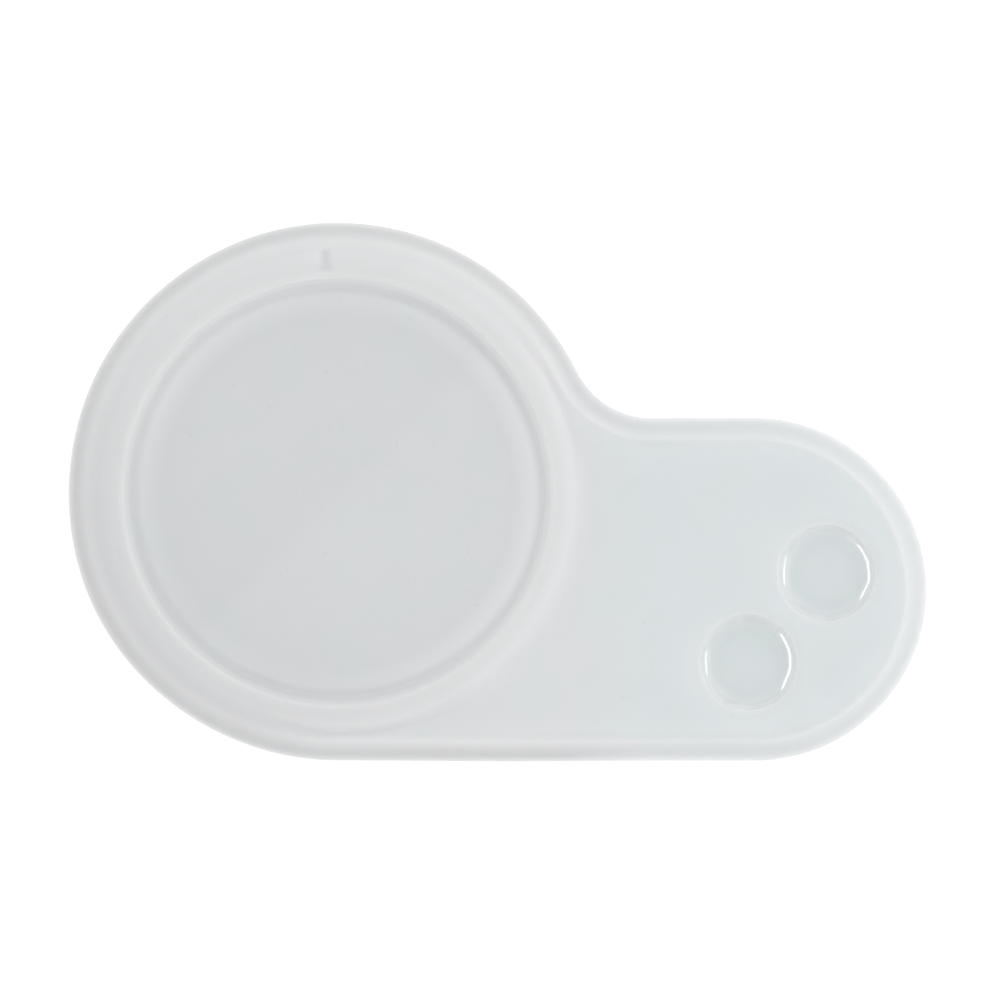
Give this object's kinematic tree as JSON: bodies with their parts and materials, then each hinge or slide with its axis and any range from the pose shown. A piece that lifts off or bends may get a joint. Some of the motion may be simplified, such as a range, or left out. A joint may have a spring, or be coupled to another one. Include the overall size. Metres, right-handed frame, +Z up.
{
  "type": "resin casting mould",
  "caption": "Low soft silicone mould: a round end with a shallow cavity in a raised ring, and a handle-shaped lobe whose flat deck has small round pockets.",
  "frame": {"origin": "middle of the large round cavity, on the flat underside", "axes": "+Z up out of the open cavities; +X along the handle from the round end to the tip; the handle lies towards -Y"},
  "size_m": [0.1818, 0.114, 0.0116],
  "materials": {
    "silicone": "satin",
    "silicone_thin": "satin"
  },
  "bodies": {
    "root": {"round_outer_wall": "silicone", "neck_outer_wall": "silicone", "handle_outer_wall": "silicone", "handle_deck": "silicone", "cavity_ring": "silicone", "cavity_floor": "silicone_thin", "lower_pocket": "silicone_thin", "upper_pocket": "silicone_thin"}
  },
  "joints": []
}
